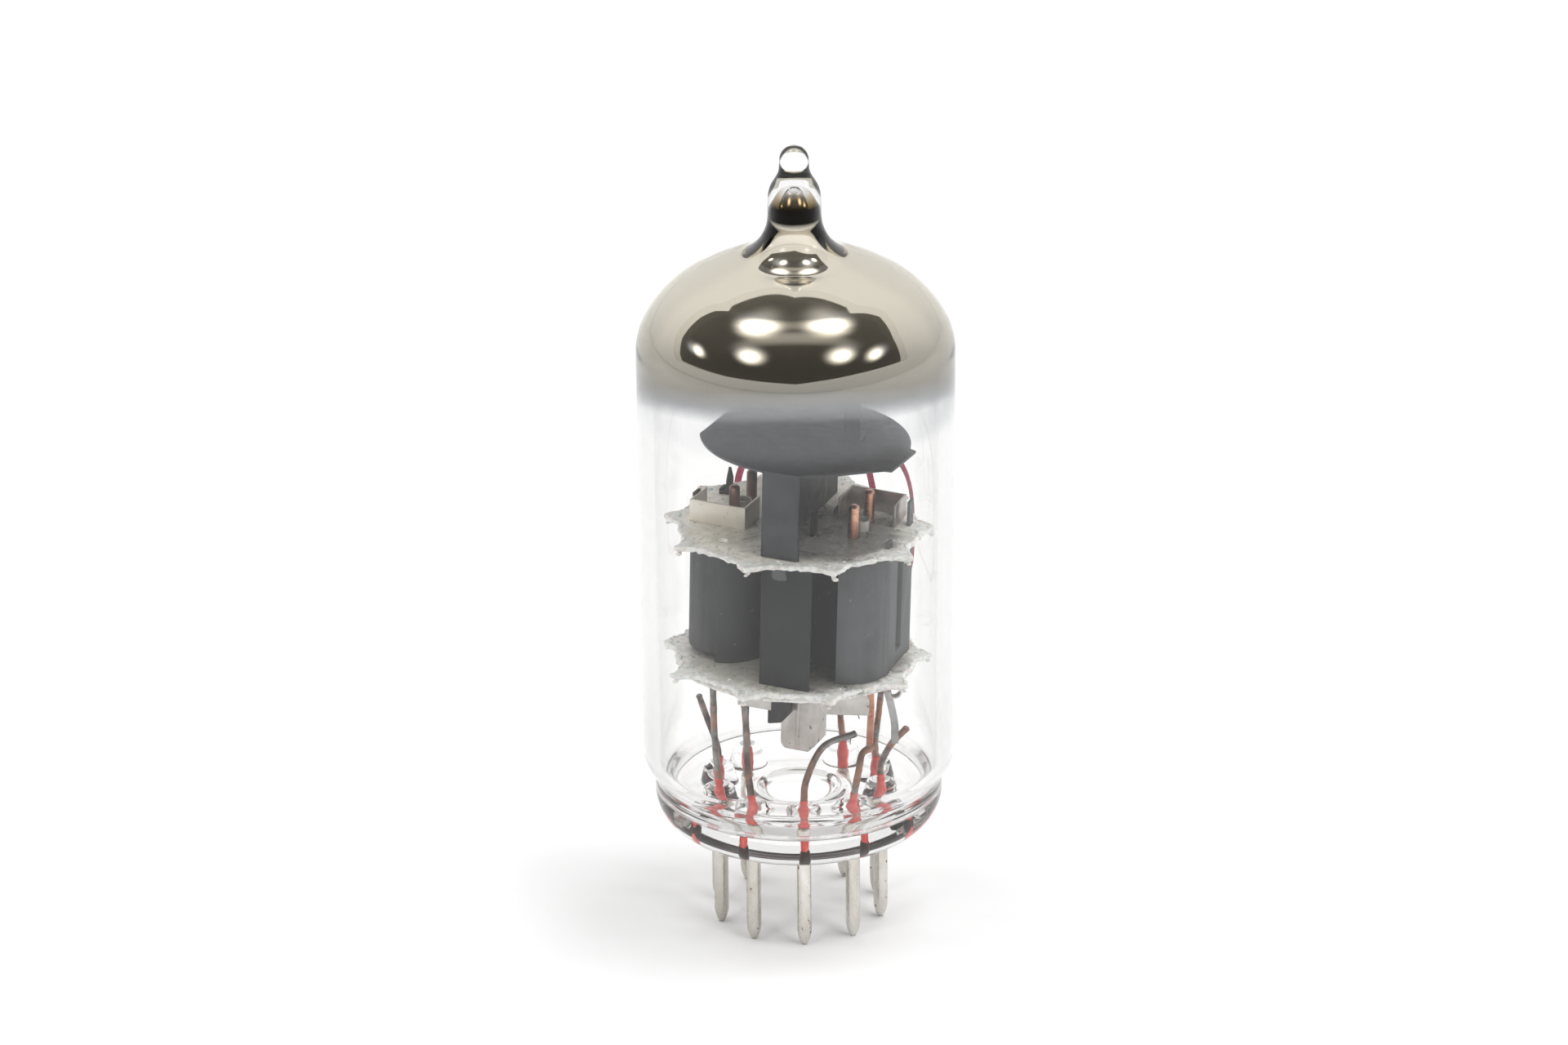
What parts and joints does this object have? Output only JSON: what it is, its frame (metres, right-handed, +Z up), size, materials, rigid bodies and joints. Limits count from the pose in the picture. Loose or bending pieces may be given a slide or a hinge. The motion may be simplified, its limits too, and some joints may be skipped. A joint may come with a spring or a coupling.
{
  "type": "vacuum tube",
  "caption": "Miniature glass vacuum tube with a mirrored dome, a double electrode cage between mica discs and a ring of base pins.",
  "frame": {"origin": "centre of the circle of pin tips, on the plane that the pin tips stand on", "axes": "+Z up along the bulb's axis to the exhaust tip; +Y towards the wide gap between the first and last pins, so the fifth pin is at -Y"},
  "size_m": [0.022, 0.022, 0.0572],
  "materials": {
    "bulb_glass": "clear blown glass",
    "stem_glass": "clear pressed glass",
    "getter_mirror": "bright metal film with a smoky edge",
    "pin_nickel": "worn nickel",
    "seal_red": "red oxide in glass",
    "lead_metal": "heat-stained copper-clad wire",
    "mica": "mica sheet with a frosted coat",
    "anode_carbon": "carbonised nickel, matt",
    "bright_strip": "bright nickel strip",
    "grid_copper": "copper rod",
    "grid_wire": "fine grid wire",
    "cathode_nickel": "nickel tube",
    "heater_coat": "white alumina coat",
    "screen_metal": "dull grey coated nickel",
    "getter_steel": "steel strip",
    "strap_copper": "copper strip"
  },
  "bodies": {
    "root": {"anode_left_half_a": "anode_carbon", "anode_left_half_b": "anode_carbon", "anode_right_half_a": "anode_carbon", "anode_right_half_b": "anode_carbon", "anode_strap_left": "bright_strip", "anode_strap_right": "bright_strip", "base_shield": "bright_strip", "button_stem": "stem_glass", "cathode_left": "cathode_nickel", "cathode_right": "cathode_nickel", "central_screen": "screen_metal", "copper_strap": "strap_copper", "curled_tab": "bright_strip", "getter_flash": "getter_mirror", "getter_ring": "getter_steel", "getter_shield": "screen_metal", "getter_support": "getter_steel", "glass_envelope": "bulb_glass", "grey_ribbon": "bright_strip", "grid_rods_left": "grid_copper", "grid_rods_right": "grid_copper", "grid_winding_left": "grid_wire", "grid_winding_right": "grid_wire", "heater_left": "heater_coat", "heater_right": "heater_coat", "lead_wire_1": "lead_metal", "lead_wire_2": "lead_metal", "lead_wire_3": "lead_metal", "lead_wire_4": "lead_metal", "lead_wire_5": "lead_metal", "lead_wire_6": "lead_metal", "lead_wire_7": "lead_metal", "lead_wire_8": "lead_metal", "lead_wire_9": "lead_metal", "lower_mica": "mica", "lower_mica_backing": "mica", "lower_strap": "bright_strip", "pin_1": "pin_nickel", "pin_2": "pin_nickel", "pin_3": "pin_nickel", "pin_4": "pin_nickel", "pin_5": "pin_nickel", "pin_6": "pin_nickel", "pin_7": "pin_nickel", "pin_8": "pin_nickel", "pin_9": "pin_nickel", "screen_foot": "bright_strip", "seal_wire_1": "seal_red", "seal_wire_2": "seal_red", "seal_wire_3": "seal_red", "seal_wire_4": "seal_red", "seal_wire_5": "seal_red", "seal_wire_6": "seal_red", "seal_wire_7": "seal_red", "seal_wire_8": "seal_red", "seal_wire_9": "seal_red", "upper_mica": "mica", "upper_screen": "screen_metal"}
  },
  "joints": []
}
